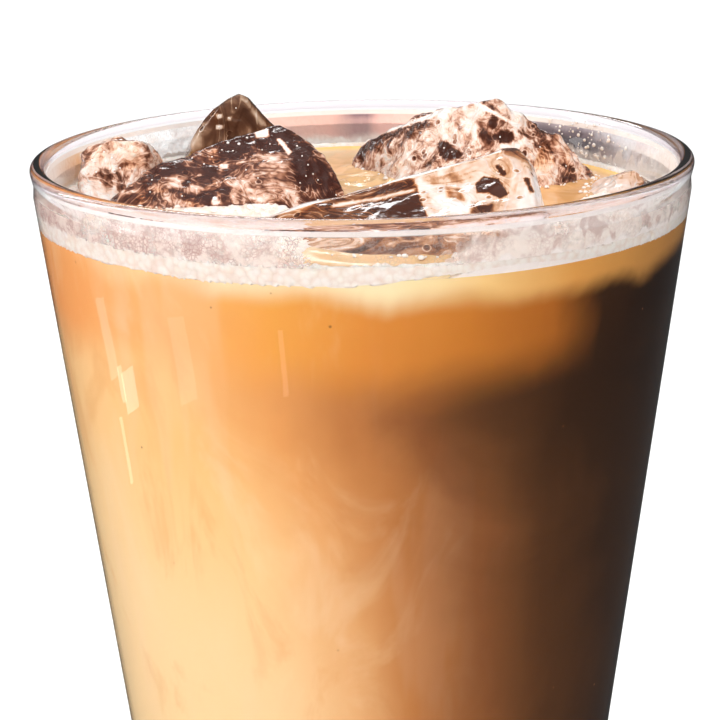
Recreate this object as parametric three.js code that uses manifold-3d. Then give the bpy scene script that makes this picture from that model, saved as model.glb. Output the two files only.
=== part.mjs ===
// Iced latte served in a clear straight tapered tumbler, filled almost to the rim.
// Millimetres, +Z up, origin at the centre of the underside of the foot.
import * as THREE from "three";
import { mergeVertices } from "three/addons/utils/BufferGeometryUtils.js";
import Module from "manifold-3d";

const wasm = await Module();
wasm.setup();

// Tumbler: a cone of thin glass on a thick base
const glassHeight = 149;
const rimRadius = 44.5;
const footRadius = 30.5;
const wallAtRim = 2.3;
const wallAtFoot = 3.2;
const baseThickness = 11;
const footRingWidth = 5.5;
const footCornerRadius = 1.6;
const recessDepth = 1.6;
const floorCornerRadius = 7;
const sidesRound = 72;

// Drink: coffee with milk, under a thin collar of milk foam that is widest at one angle from +X
const drinkBelowRim = 7.5;
const foamHeight = 2;
const foamNarrow = 2.5;
const foamWide = 27;
const foamWideTowards = -2.1;
const gap = 0.3;

// Ice: half-melted cubes and broken pieces of cubes, none of them touching the wall
const iceEdgeRadius = 2.2;
const iceRelief = 0.75;
const iceToWall = 1.4;

const drinkLevel = glassHeight - drinkBelowRim;

// Each block hangs from its highest corner, given as x, y and height above the drink.
// Its three edges run down from there; broken ice is not quite square, and has a belly.
const iceBlocks = [
  { name: "ice_wedge", top: [-11.4, 7.6, 10.6], steps: 6, seed: 1, belly: 0.12,
    edges: [[11.2, -12, -10.8], [-22.6, -15.8, -7.2], [-2.6, 12.4, -18]] },
  { name: "ice_peak", top: [19.3, 9, 14], steps: 6, seed: 2, belly: 0.03,
    edges: [[-20.8, 17.2, -10.4], [17.8, 4.2, -15], [-6.5, -13, -21.6]] },
  { name: "ice_front", top: [19.8, -15, 10.6], steps: 6, seed: 3, belly: 0.02,
    edges: [[1.4, -18.5, -5.6], [-36, -2.3, -8.8], [4, 7.2, -17]] },
  { name: "ice_plate", top: [-17.7, 17, 14], steps: 5, seed: 4, belly: 0.03,
    edges: [[9.2, 1.4, -10.5], [-8.4, -1.6, -8.8], [-2.4, 14, -6]] },
  { name: "ice_left", top: [-29, 0.5, 9.6], steps: 5, seed: 5, belly: 0.06,
    edges: [[0.5, -9.6, -12.6], [-9, -1, -1], [1.4, 11, -8.4]] },
  { name: "ice_right", top: [38, 1.5, 4.6], steps: 4, seed: 6, belly: 0.08,
    edges: [[-6.5, -9.8, -5.6], [-7.2, 9.4, -5.5], [5, 0.3, -6.5]] },
];

// Outer and inner radius of the tumbler at a height
function outerRadius(height) {
  return THREE.MathUtils.lerp(footRadius, rimRadius, height / glassHeight);
}

function innerRadius(height) {
  return outerRadius(height) - THREE.MathUtils.lerp(wallAtFoot, wallAtRim, height / glassHeight);
}

// Points of an arc, from one angle to the other, in the plane of radius and height
function arc(radius, height, arcRadius, from, to, steps) {
  return Array.from({ length: steps + 1 }, (_, step) => {
    const angle = THREE.MathUtils.lerp(from, to, step / steps);
    return new THREE.Vector2(radius + arcRadius * Math.cos(angle), height + arcRadius * Math.sin(angle));
  });
}

// Merged closed mesh of a geometry, without the collapsed triangles on a lathe's axis
function solidOf(geometry) {
  geometry.deleteAttribute("normal");
  geometry.deleteAttribute("uv");
  const merged = mergeVertices(geometry, 1e-4);
  const triangles = [];
  for (let at = 0; at < merged.index.count; at += 3) {
    const corners = [0, 1, 2].map((next) => merged.index.getX(at + next));
    if (new Set(corners).size === 3) triangles.push(...corners);
  }
  return new wasm.Manifold(new wasm.Mesh({
    numProp: 3,
    vertProperties: Float32Array.from(merged.attributes.position.array),
    triVerts: Uint32Array.from(triangles),
  }));
}

// Body turned round the vertical axis from a profile of radius and height
function turned(profile) {
  return solidOf(new THREE.LatheGeometry(profile, sidesRound).rotateX(Math.PI / 2));
}

// The largest body of a solid, without the chips that cutting leaves
function largestBody(solid) {
  return solid.decompose().reduce((best, body) => (body.volume() > best.volume() ? body : best));
}

// Profile of the inside of the tumbler up to a height, moved in by a clearance
function insideProfile(height, clearance) {
  const floor = baseThickness + clearance;
  const corner = floor + floorCornerRadius;
  const cornerCentre = innerRadius(corner) - clearance - floorCornerRadius;
  return [
    new THREE.Vector2(0, floor),
    ...arc(cornerCentre, corner, floorCornerRadius, -Math.PI / 2, 0, 4),
    new THREE.Vector2(innerRadius(height) - clearance, height),
  ];
}

// Tumbler: recessed underside, flat foot ring, straight wall, round fire-polished rim
function tumbler() {
  const rimRound = wallAtRim / 2;
  const rimMiddle = rimRadius - rimRound;
  const ringOuter = outerRadius(footCornerRadius) - footCornerRadius;
  const ringInner = ringOuter - footRingWidth;
  const inside = insideProfile(glassHeight - rimRound, 0);
  return turned([
    new THREE.Vector2(0, recessDepth),
    new THREE.Vector2(ringInner - recessDepth, recessDepth),
    new THREE.Vector2(ringInner, 0),
    ...arc(ringOuter, footCornerRadius, footCornerRadius, -Math.PI / 2, 0, 3),
    ...arc(rimMiddle, glassHeight - rimRound, rimRound, 0, Math.PI, 6),
    ...inside.slice(0, -1).reverse(),
  ]);
}

// Small uneven swell of a melted surface at a point of the block, from -1 to 1
function swell(point, seed) {
  const broad = Math.sin(0.34 * point.x + seed) * Math.sin(0.29 * point.y + 2 * seed);
  const fine = Math.sin(0.71 * point.y + 3 * seed) * Math.sin(0.63 * point.z - seed);
  return 0.6 * broad + 0.4 * fine + 0.3 * Math.sin(0.5 * point.z + 0.41 * point.x - seed);
}

// Ice block with melted edges and faces; grown by a clearance it cuts the bed it lies in
function iceBlock({ top, edges, steps, seed, belly }, clearance) {
  const corner = new THREE.Vector3(top[0], top[1], drinkLevel + top[2]);
  const runs = edges.map((edge) => new THREE.Vector3(...edge));
  const half = new THREE.Vector3(...runs.map((run) => run.length() / 2));
  const core = half.clone().subScalar(iceEdgeRadius);
  const frame = new THREE.Matrix4().makeBasis(...runs.map((run) => run.normalize()));
  const geometry = new THREE.BoxGeometry(2, 2, 2, steps, steps, steps);
  const position = geometry.attributes.position;
  const point = new THREE.Vector3();
  for (let index = 0; index < position.count; index += 1) {
    point.fromBufferAttribute(position, index);
    const share = point.clone().multiplyScalar(steps / (steps - 2)).clampScalar(-1, 1);
    const outward = point.clone().roundToZero().normalize();
    const inner = share.clone().multiply(core);
    const dome = new THREE.Vector3(1, 1, 1).sub(share.multiply(share)).multiplyScalar(belly);
    const bulge = new THREE.Vector3(dome.y + dome.z, dome.z + dome.x, dome.x + dome.y);
    const reach = iceEdgeRadius + clearance + iceRelief * swell(inner, seed);
    point.copy(inner).add(bulge.multiply(inner)).addScaledVector(outward, reach);
    point.add(half).applyMatrix4(frame).add(corner);
    const widest = innerRadius(point.z) - iceToWall + clearance;
    const squeeze = Math.min(1, widest / Math.hypot(point.x, point.y));
    position.setXYZ(index, point.x * squeeze, point.y * squeeze, point.z);
  }
  return solidOf(geometry);
}

// Collar of foam: the wall outside, and inside an uneven line, widest at the front left
function foamCollar() {
  const outer = innerRadius(drinkLevel) - gap;
  const ring = (radiusAt) => Array.from({ length: sidesRound }, (_, side) => {
    const angle = (side / sidesRound) * 2 * Math.PI;
    return new THREE.Vector2(Math.cos(angle), Math.sin(angle)).multiplyScalar(radiusAt(angle));
  });
  const collar = new THREE.Shape(ring(() => outer));
  collar.holes.push(new THREE.Path(ring((angle) => {
    const wide = (1 + Math.cos(angle - foamWideTowards)) / 2;
    const ragged = 0.9 * Math.sin(5 * angle + 1) + 0.6 * Math.sin(11 * angle);
    return outer - THREE.MathUtils.lerp(foamNarrow, foamWide, wide) + ragged;
  })));
  const geometry = new THREE.ExtrudeGeometry(collar, { depth: foamHeight - gap, bevelEnabled: false });
  return solidOf(geometry.translate(0, 0, drinkLevel + gap));
}

// Named mesh of a solid in its material
function meshOf(name, solid, look) {
  const { vertProperties, triVerts } = solid.getMesh();
  const geometry = new THREE.BufferGeometry();
  geometry.setAttribute("position", new THREE.BufferAttribute(vertProperties, 3));
  geometry.setIndex(new THREE.BufferAttribute(triVerts, 1));
  geometry.computeVertexNormals();
  const mesh = new THREE.Mesh(geometry, new THREE.MeshStandardMaterial(look));
  mesh.name = name;
  return mesh;
}

const glassLook = { color: 0xeef4f5, roughness: 0.03, metalness: 0, transparent: true, opacity: 0.3 };
const latteLook = { color: 0xc98745, roughness: 0.35, metalness: 0 };
const foamLook = { color: 0xfbeee2, roughness: 0.7, metalness: 0 };
const iceLook = { color: 0xc9a98c, roughness: 0.1, metalness: 0 };

// Where two pieces of ice are frozen together, the later one is trimmed to the earlier ones
const pieces = [];
const beds = [];
for (const block of iceBlocks) {
  const trimmed = beds.reduce((rest, bed) => rest.subtract(bed), iceBlock(block, 0));
  pieces.push({ name: block.name, solid: largestBody(trimmed) });
  beds.push(iceBlock(block, gap));
}

const drink = turned([...insideProfile(drinkLevel, gap), new THREE.Vector2(0, drinkLevel)]);
const latte = beds.reduce((rest, bed) => rest.subtract(bed), drink);
const foam = beds.reduce((rest, bed) => rest.subtract(bed), foamCollar());

const icedLatte = new THREE.Group();
icedLatte.name = "iced_latte";
icedLatte.add(meshOf("glass", tumbler(), glassLook));
icedLatte.add(meshOf("latte", largestBody(latte), latteLook));
icedLatte.add(meshOf("foam", largestBody(foam), foamLook));
for (const { name, solid } of pieces) icedLatte.add(meshOf(name, solid, iceLook));

export default icedLatte;
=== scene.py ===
import math

import bmesh
import bpy
import numpy as np
from mathutils import Matrix, Vector
from mathutils.bvhtree import BVHTree


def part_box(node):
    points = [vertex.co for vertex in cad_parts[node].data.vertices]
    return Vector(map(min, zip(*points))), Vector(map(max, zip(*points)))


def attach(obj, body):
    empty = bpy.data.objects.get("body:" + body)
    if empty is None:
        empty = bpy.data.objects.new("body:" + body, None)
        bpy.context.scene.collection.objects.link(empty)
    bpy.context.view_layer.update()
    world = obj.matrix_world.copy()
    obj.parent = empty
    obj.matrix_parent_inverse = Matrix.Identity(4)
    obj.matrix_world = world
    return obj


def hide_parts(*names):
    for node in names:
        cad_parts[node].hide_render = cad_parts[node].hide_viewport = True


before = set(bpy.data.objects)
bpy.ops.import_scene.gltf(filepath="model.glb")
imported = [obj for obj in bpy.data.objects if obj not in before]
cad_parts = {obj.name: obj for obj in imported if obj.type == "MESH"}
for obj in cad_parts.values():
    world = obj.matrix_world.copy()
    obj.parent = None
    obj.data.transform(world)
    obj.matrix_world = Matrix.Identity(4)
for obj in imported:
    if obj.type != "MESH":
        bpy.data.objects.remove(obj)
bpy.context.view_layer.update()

scene = bpy.context.scene


# Camera: close to the glass and a little above its rim, as the photograph was taken.
# What shows at a pixel of the photograph is found by a ray through the same pixel here.
photo_side = 720
camera_lens = 71.84
camera_sensor = 36
camera_distance = 0.19461
camera_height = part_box("glass")[1].z + 0.03494
camera_pitch = math.radians(18.607)
camera_yaw = math.radians(-0.1996)
camera_roll = math.radians(-0.9364)

lens = bpy.data.cameras.new("camera")
lens.lens = camera_lens
lens.sensor_width = camera_sensor
lens.clip_start = 0.01
camera = bpy.data.objects.new("camera", lens)
scene.collection.objects.link(camera)
look = Vector((
    math.sin(camera_yaw) * math.cos(camera_pitch),
    math.cos(camera_yaw) * math.cos(camera_pitch),
    -math.sin(camera_pitch),
))
level_right = Vector((math.cos(camera_yaw), -math.sin(camera_yaw), 0))
level_up = level_right.cross(look)
right = level_right * math.cos(camera_roll) + level_up * math.sin(camera_roll)
up = level_up * math.cos(camera_roll) - level_right * math.sin(camera_roll)
camera_turn = Matrix((right, up, -look)).transposed()
camera_place = Vector((0, -camera_distance, camera_height))
camera.matrix_world = Matrix.Translation(camera_place) @ camera_turn.to_4x4()
scene.camera = camera
pixels_per_slope = camera_lens / camera_sensor * photo_side


def photo_pixels(points):
    """Pixels of the photograph in which points of the frame show."""
    seen = (np.asarray(points) - np.array(camera_place)) @ np.array(camera_turn)
    slopes = seen[:, :2] / -seen[:, 2:]
    return photo_side / 2 + pixels_per_slope * slopes * (1, -1)


def photo_ray(x, y):
    """Direction from the camera through a pixel of the photograph."""
    middle = photo_side / 2
    slope = Vector(((x - middle) / pixels_per_slope, (middle - y) / pixels_per_slope, -1))
    return (camera_turn @ slope).normalized()


# Tumbler: one piece of clear pressed glass, a straight cone on a thick base.
# The rim is fire-polished to a round bead. It stands on a flat ring round a shallow recess.
glass_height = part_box("glass")[1].z
rim_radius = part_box("glass")[1].x
foot_radius = 0.0305
wall_at_rim = 0.0023
wall_at_foot = 0.0032
base_thickness = 0.011
floor_corner = 0.007
foot_corner = 0.0016
foot_ring_width = 0.0055
recess_depth = 0.0016
sides_round = 192
support_heights = (0.004, 0.02, 0.06, 0.1, 0.13, 0.1448, 0.1464)
neck_height = 0.1464
neck_depth = 0.0003


def outer_radius(height):
    return foot_radius + (rim_radius - foot_radius) * height / glass_height


def inner_radius(height):
    return outer_radius(height) - wall_at_foot - (wall_at_rim - wall_at_foot) * height / glass_height


def start_piece(name):
    """The primitive just added becomes the piece of this name, alone in edit mode."""
    piece = bpy.context.object
    piece.name = name
    bpy.ops.object.transform_apply(location=True, rotation=True, scale=True)
    bpy.ops.object.mode_set(mode="EDIT")
    return piece


def select(piece, kind, wanted):
    """Selects the faces, edges or verts of the piece in edit mode that the test wants."""
    bpy.ops.mesh.select_mode(type={"faces": "FACE", "edges": "EDGE", "verts": "VERT"}[kind])
    bpy.ops.mesh.select_all(action="DESELECT")
    mesh = bmesh.from_edit_mesh(piece.data)
    for part in getattr(mesh, kind):
        if wanted(part):
            part.select_set(True)
    mesh.select_flush_mode()
    bmesh.update_edit_mesh(piece.data)


def ring_at(radius, height):
    """Test for the edges of a ring of this radius and height."""
    def on_ring(edge):
        return all(
            abs(corner.co.z - height) < 1e-5 and abs(corner.co.xy.length - radius) < 1e-5
            for corner in edge.verts
        )
    return on_ring


def level_face(height):
    """Test for the flat faces at this height."""
    return lambda face: abs(face.normal.z) > 0.99 and abs(face.calc_center_median().z - height) < 1e-5


def widen(share, height):
    bpy.ops.transform.resize(value=(share, share, 1), center_override=(0, 0, height))


def end_piece(piece, material, slot, *nodes, smooth=40):
    """Leaves edit mode and gives the piece its shading, finish and place in the frame."""
    if bpy.context.mode != "OBJECT":
        bpy.ops.object.mode_set(mode="OBJECT")
    bpy.ops.object.select_all(action="DESELECT")
    piece.select_set(True)
    bpy.context.view_layer.objects.active = piece
    bpy.ops.object.shade_smooth_by_angle(angle=math.radians(smooth))
    piece.data.materials.clear()
    piece.data.materials.append(material)
    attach(piece, "root")
    if nodes:
        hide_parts(*nodes)
    bpy.ops.object.select_all(action="DESELECT")


def new_material(name, settings):
    """A material with its node tree and its Principled shader, set to these plain values."""
    material = bpy.data.materials.new(name)
    material.use_nodes = True
    tree = material.node_tree
    shader = tree.nodes["Principled BSDF"]
    for socket, value in settings.items():
        shader.inputs[socket].default_value = value
    return material, tree, shader


def node(tree, kind, inputs=None, **settings):
    """Adds a node; inputs are values or the sockets that feed them."""
    made = tree.nodes.new("ShaderNode" + kind)
    for key, value in settings.items():
        setattr(made, key, value)
    for key, value in (inputs or {}).items():
        if isinstance(value, bpy.types.NodeSocket):
            tree.links.new(value, made.inputs[key])
        else:
            made.inputs[key].default_value = value
    return made


def ramp(tree, factor, *stops):
    """A colour ramp fed by a socket; a stop is a place and a grey value or a colour."""
    made = node(tree, "ValToRGB", {0: factor})
    elements = made.color_ramp.elements
    while len(elements) < len(stops):
        elements.new(0.5)
    for element, (position, colour) in zip(elements, stops):
        element.position = position
        shade = colour if isinstance(colour, tuple) else (colour,) * 3
        element.color = (*shade, 1)
    return made.outputs[0]


def math_node(tree, operation, first, second=0.5, third=0.5):
    return node(tree, "Math", {0: first, 1: second, 2: third}, operation=operation).outputs[0]


def place(tree):
    return node(tree, "TexCoord").outputs["Object"]


def noise(tree, spot, scale, detail, **more):
    """Cloudy noise from 0 to 1."""
    inputs = {"Vector": spot, "Scale": scale, "Detail": detail, **more}
    return node(tree, "TexNoise", inputs).outputs[0]


def axes_of(tree):
    return node(tree, "SeparateXYZ", {0: place(tree)}).outputs


def between(tree, value, low, high, first=0.0, last=1.0):
    """Runs smoothly from first to last while the value runs from low to high."""
    return node(tree, "MapRange", {0: value, 1: low, 2: high, 3: first, 4: last},
                interpolation_type="SMOOTHSTEP").outputs[0]


def mix(tree, factor, first, second):
    """Mixes two colours, given as colours or sockets."""
    made = node(tree, "Mix", {0: factor}, data_type="RGBA")
    for socket, colour in ((made.inputs[6], first), (made.inputs[7], second)):
        if isinstance(colour, bpy.types.NodeSocket):
            tree.links.new(colour, socket)
        else:
            socket.default_value = (*colour, 1)
    return made.outputs[2]


glass, tree, shader = new_material("clear_glass", {"Transmission Weight": 1, "IOR": 1.5})
# Painted shade: the glass darkens at grazing angles to draw dark lines along its edges; on the rim it is
# tinted pink and darkens sooner
grazing = node(tree, "LayerWeight", {"Blend": 0.5}).outputs["Facing"]
edge = ramp(tree, grazing, (0.0, (0.985, 0.99, 0.99)), (0.84, (0.96, 0.95, 0.96)), (0.97, (0.16, 0.12, 0.13)))
on_rim = between(tree, axes_of(tree)["Z"], glass_height - 0.0015, glass_height - 0.0009)
painted_rim_shade = ramp(
    tree, grazing,
    (0.3, (0.9, 0.81, 0.85)), (0.7, (0.84, 0.7, 0.76)), (0.84, (0.3, 0.2, 0.24)), (0.93, (0.02, 0.01, 0.015)),
)
tint_and_painted_edges = mix(tree, on_rim, edge, painted_rim_shade)
tree.links.new(tint_and_painted_edges, shader.inputs["Base Color"])
smear = noise(tree, place(tree), 90, 4)
tree.links.new(ramp(tree, smear, (0.45, 0.0), (0.75, 0.035)), shader.inputs["Roughness"])
wave = noise(tree, place(tree), 30, 1)
ripple = node(tree, "Bump", {"Strength": 0.04, "Distance": 0.001, "Height": wave})
tree.links.new(ripple.outputs[0], shader.inputs["Normal"])

bpy.ops.object.select_all(action="DESELECT")
bpy.ops.mesh.primitive_cylinder_add(
    vertices=sides_round, radius=foot_radius, depth=glass_height, location=(0, 0, glass_height / 2)
)
tumbler = start_piece("tumbler")
select(tumbler, "faces", level_face(glass_height))
widen(rim_radius / foot_radius, glass_height)
bpy.ops.mesh.inset(thickness=wall_at_rim)
bpy.ops.mesh.extrude_region_move(
    TRANSFORM_OT_translate={"value": (0, 0, base_thickness - glass_height)}
)
floor_radius = inner_radius(base_thickness)
widen(floor_radius / (rim_radius - wall_at_rim), base_thickness)
for height in support_heights:
    select(tumbler, "faces", lambda face: abs(face.normal.z) < 0.9)
    bpy.ops.mesh.bisect(plane_co=(0, 0, height), plane_no=(0, 0, 1))
select(tumbler, "edges", ring_at(floor_radius, base_thickness))
bpy.ops.mesh.bevel(offset=floor_corner, segments=10, affect="EDGES")
for radius, share in (
    (outer_radius(neck_height), 1 - neck_depth / rim_radius),
    (inner_radius(neck_height), 1 + neck_depth / rim_radius),
):
    select(tumbler, "edges", ring_at(radius, neck_height))
    widen(share, neck_height)
for radius in (rim_radius, rim_radius - wall_at_rim):
    select(tumbler, "edges", ring_at(radius, glass_height))
    bpy.ops.mesh.bevel(offset=wall_at_rim * 0.49, segments=7, affect="EDGES")
select(tumbler, "faces", level_face(0))
bpy.ops.mesh.inset(thickness=foot_corner + foot_ring_width)
bpy.ops.mesh.extrude_region_move(TRANSFORM_OT_translate={"value": (0, 0, recess_depth)})
ring_inner = foot_radius - foot_corner - foot_ring_width
widen((ring_inner - recess_depth) / ring_inner, recess_depth)
select(tumbler, "edges", ring_at(foot_radius, 0))
bpy.ops.mesh.bevel(offset=foot_corner, segments=5, affect="EDGES")
bpy.ops.mesh.select_all(action="SELECT")
bpy.ops.mesh.normals_make_consistent(inside=False)
end_piece(tumbler, glass, "clear_glass", "glass")


# Ice: half-melted cubes and broken cubes, wet all over, which float high in the drink.
# Coffee has stained them and milk has dried on them in veils, so they run from black to cream.
# The shine along their wet ridges is painted on as thin light lines.
drink_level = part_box("latte")[1].z
ice_grain = 0.0003


def melt_texture(name, kind, size, **settings):
    texture = bpy.data.textures.new(name, kind)
    texture.noise_scale = size
    for key, value in settings.items():
        setattr(texture, key, value)
    return texture


broad_melt = melt_texture("broad_melt", "CLOUDS", 0.008, noise_depth=1)
fine_melt = melt_texture("fine_melt", "CLOUDS", 0.0018, noise_depth=2)
crystals = melt_texture("crystals", "VORONOI", 0.0022, distance_metric="DISTANCE", weight_1=1)


def use_modifier(piece, kind, **settings):
    """Adds a modifier with these settings and applies it."""
    modifier = piece.modifiers.new(kind.lower(), kind)
    for key, value in settings.items():
        setattr(modifier, key, value)
    bpy.context.view_layer.objects.active = piece
    bpy.ops.object.modifier_apply(modifier=modifier.name)


def displace(piece, texture, depth, mid_level=0.5):
    use_modifier(
        piece, "DISPLACE", texture=texture, strength=depth, mid_level=mid_level, texture_coords="LOCAL"
    )


def copy_of_node(name, node_name):
    """A merged copy of a CAD node's mesh, as a piece of its own."""
    piece = bpy.data.objects.new(name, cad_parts[node_name].data.copy())
    bpy.context.scene.collection.objects.link(piece)
    bpy.ops.object.select_all(action="DESELECT")
    piece.select_set(True)
    bpy.context.view_layer.objects.active = piece
    bpy.ops.object.mode_set(mode="EDIT")
    bpy.ops.mesh.select_all(action="SELECT")
    bpy.ops.mesh.remove_doubles(threshold=1e-5)
    bpy.ops.object.mode_set(mode="OBJECT")
    return piece


def corners_of(piece):
    corners = np.empty(len(piece.data.vertices) * 3)
    piece.data.vertices.foreach_get("co", corners)
    return corners.reshape(-1, 3)


def share_inside(pixels, outline, softness):
    """How far pixels lie inside an outline drawn on the photograph, from 0 to 1."""
    outline = np.array(outline, float)
    nearest = np.full(len(pixels), np.inf)
    inside = np.zeros(len(pixels), bool)
    for start, end in zip(outline, np.roll(outline, -1, axis=0)):
        along = end - start
        share = np.clip((pixels - start) @ along / (along @ along), 0, 1)
        away = np.linalg.norm(pixels - start - share[:, None] * along, axis=1)
        nearest = np.minimum(nearest, away)
        spans = (start[1] > pixels[:, 1]) != (end[1] > pixels[:, 1])
        crossing = start[0] + (pixels[:, 1] - start[1]) * along[0] / (along[1] or 1e-9)
        inside ^= spans & (pixels[:, 0] < crossing)
    signed = np.where(inside, nearest, -nearest)
    return np.clip(0.5 + signed / softness, 0, 1)


def paint_veil_and_highlights(piece, base, patches):
    """Gives the piece its veil of milk: above 0 milky, below 0 dark with coffee; thin lines far above 1 paint
    the highlights of wet ridges.
    """
    pixels = photo_pixels(corners_of(piece))
    veil = np.full(len(pixels), float(base))
    for amount, softness, outline in patches:
        inside = share_inside(pixels, outline, softness)
        veil += inside * (amount - veil)
    layer = piece.data.attributes.new("veil", "FLOAT", "POINT")
    layer.data.foreach_set("value", veil)


def start_group(name, inputs, outputs, kind):
    """A shader node group, with the sockets it is given and those of its result."""
    group = bpy.data.node_groups.new(name, "ShaderNodeTree")
    for label in inputs:
        group.interface.new_socket(label, in_out="INPUT", socket_type="NodeSocketFloat")
    for label in outputs:
        group.interface.new_socket(label, in_out="OUTPUT", socket_type="NodeSocket" + kind)
    return group, group.nodes.new("NodeGroupInput").outputs, group.nodes.new("NodeGroupOutput").inputs


def place_group(tree, group, values):
    """Places the group in a material's tree with that material's own values."""
    placed = tree.nodes.new("ShaderNodeGroup")
    placed.node_tree = group
    for label, value in values.items():
        placed.inputs[label].default_value = value
    return placed


def fold_lines(tree, spot, scale):
    """Contour of the folds in which milk ran through the ice, and its light lines."""
    contour = math_node(tree, "PINGPONG", noise(tree, spot, scale, 2, Distortion=2.2), 0.05)
    return contour, between(tree, contour, 0.0, 0.014, 0.26, 0.0)


# Milk runs through the ice in marbled folds; fine grains, pits and lines break its surface.
# Painted shade darkens the cracks between grains and the hollows of pits; painted light brightens grain tops
# and pit lips.
marbling, given, result = start_group(
    "marbled_ice", ("Veil", "Scale", "Grain"), ("Milk", "Relief", "Amber"), "Float"
)
spot = place(marbling)
marble = noise(marbling, spot, given["Scale"], 5, Roughness=0.62, Distortion=1.0)
fold_scale = math_node(marbling, "MULTIPLY", given["Scale"], 0.5)
contour, light_lines = fold_lines(marbling, spot, fold_scale)
dark_lines = between(marbling, contour, 0.036, 0.05, 0.0, 0.22)
grains = node(marbling, "TexVoronoi", {"Vector": spot, "Scale": 1000}).outputs["Distance"]
grain_relief_and_shade = math_node(marbling, "MULTIPLY", math_node(marbling, "SUBTRACT", 0.42, grains), given["Grain"])
pits = node(marbling, "TexVoronoi", {"Vector": spot, "Scale": 520, "Randomness": 1})
in_pit = between(marbling, pits.outputs["Distance"], 0.16, 0.24, 1.0, 0.0)
on_lip = between(marbling, math_node(marbling, "ABSOLUTE", math_node(
    marbling, "SUBTRACT", pits.outputs["Distance"], 0.27)), 0.0, 0.06, 1.0, 0.0)
rare = between(marbling, node(marbling, "SeparateXYZ", {0: pits.outputs["Color"]}).outputs[0], 0.66, 0.7)
pit_relief_and_shade = math_node(marbling, "MULTIPLY", rare, math_node(marbling, "SUBTRACT", on_lip, in_pit))
thick_veil = math_node(marbling, "MAXIMUM", given["Veil"], 0.0)
contrast = math_node(marbling, "MULTIPLY_ADD", thick_veil, -1.7, 2.9)
milky = math_node(marbling, "MULTIPLY_ADD", math_node(marbling, "SUBTRACT", marble, 0.5), contrast, 0.48)
milky = math_node(marbling, "MULTIPLY_ADD", given["Veil"], 0.5, milky)
line_strength = math_node(marbling, "MULTIPLY_ADD", thick_veil, -0.7, 1.0)
line_contrast = math_node(marbling, "SUBTRACT", light_lines, dark_lines)
milky = math_node(marbling, "MULTIPLY_ADD", line_contrast, line_strength, milky)
# Painted light and shade: grain tops and pit lips lighter, cracks and pit hollows darker
milky = math_node(marbling, "MULTIPLY_ADD", pit_relief_and_shade, 0.28, math_node(marbling, "ADD", milky, grain_relief_and_shade))
relief = math_node(marbling, "ADD", marble, math_node(marbling, "ADD", light_lines, grain_relief_and_shade))
marbling.links.new(milky, result["Milk"])
marbling.links.new(math_node(marbling, "MULTIPLY_ADD", pit_relief_and_shade, 0.25, relief), result["Relief"])
seeped = noise(marbling, spot, 130, 3, Distortion=0.8)
amber = math_node(marbling, "MULTIPLY_ADD", thick_veil, -1.4, between(marbling, seeped, 0.5, 0.64, 0.0, 0.9))
marbling.links.new(math_node(marbling, "MAXIMUM", amber, 0.0), result["Amber"])


def ice_material(name, transmission, *tones, scale=170, grain=0.3, ripple=0.35):
    """Stained ice under a coat of melt water; its tones run from coffee stain to milk veil, and the palest
    also serves for the painted highlights of wet ridges.
    """
    ice, tree, shader = new_material(name, {
        "IOR": 1.31, "Specular IOR Level": 0.15, "Transmission Weight": transmission,
        "Coat Weight": 1, "Coat IOR": 1.4, "Coat Roughness": 0.03,
    })
    marbled = place_group(tree, marbling, {"Scale": scale, "Grain": grain})
    tree.links.new(node(tree, "Attribute", attribute_name="veil").outputs["Fac"], marbled.inputs["Veil"])
    tone = ramp(tree, marbled.outputs["Milk"], *tones)
    amber = node(tree, "VectorMath", {0: tone, 1: (0.96, 0.72, 0.46)}, operation="MULTIPLY").outputs[0]
    tree.links.new(mix(tree, marbled.outputs["Amber"], tone, amber), shader.inputs["Base Color"])
    roughness = ramp(tree, marbled.outputs["Milk"], (0.3, 0.1), (0.9, 0.4))
    tree.links.new(roughness, shader.inputs["Roughness"])
    grit = node(tree, "Bump", {"Strength": 0.6, "Distance": 0.0007, "Height": marbled.outputs["Relief"]})
    tree.links.new(grit.outputs[0], shader.inputs["Normal"])
    spot = place(tree)
    melted = noise(tree, spot, 420, 1, Distortion=0.6)
    contour, light_lines = fold_lines(tree, spot, scale / 2)
    ripples = math_node(tree, "MULTIPLY_ADD", light_lines, 0.5, melted)
    wet = node(tree, "Bump", {"Strength": ripple, "Distance": 0.0006, "Height": ripples})
    tree.links.new(wet.outputs[0], shader.inputs["Coat Normal"])
    return ice


stained_ice = ice_material(
    "stained_ice", 0.08,
    (0.2, (0.05, 0.013, 0.008)), (0.46, (0.12, 0.038, 0.022)), (0.56, (0.28, 0.11, 0.06)),
    (0.66, (0.52, 0.25, 0.155)), (0.8, (0.76, 0.47, 0.35)), (1.0, (0.98, 0.82, 0.73)), ripple=0.16,
)
smoky_ice = ice_material(
    "smoky_ice", 0.2,
    (0.1, (0.07, 0.026, 0.013)), (0.45, (0.13, 0.056, 0.03)), (0.65, (0.27, 0.14, 0.08)),
    (0.85, (0.55, 0.37, 0.25)), (1.0, (0.85, 0.7, 0.6)), scale=70, grain=0.1, ripple=0.08,
)
amber_ice = ice_material(
    "amber_ice", 0.2,
    (0.1, (0.07, 0.02, 0.01)), (0.35, (0.24, 0.085, 0.035)), (0.52, (0.52, 0.23, 0.1)),
    (0.66, (0.74, 0.45, 0.29)), (0.8, (0.9, 0.68, 0.57)), (1.0, (0.98, 0.9, 0.86)),
    scale=90, grain=0.12, ripple=0.05,
)
frosted_ice = ice_material(
    "frosted_ice", 0.15,
    (0.1, (0.06, 0.018, 0.01)), (0.34, (0.24, 0.09, 0.05)), (0.48, (0.56, 0.29, 0.19)),
    (0.62, (0.82, 0.53, 0.4)), (0.8, (0.96, 0.75, 0.64)), (1.0, (1.0, 0.93, 0.88)),
    scale=240, grain=0.4, ripple=0.4,
)
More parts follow.
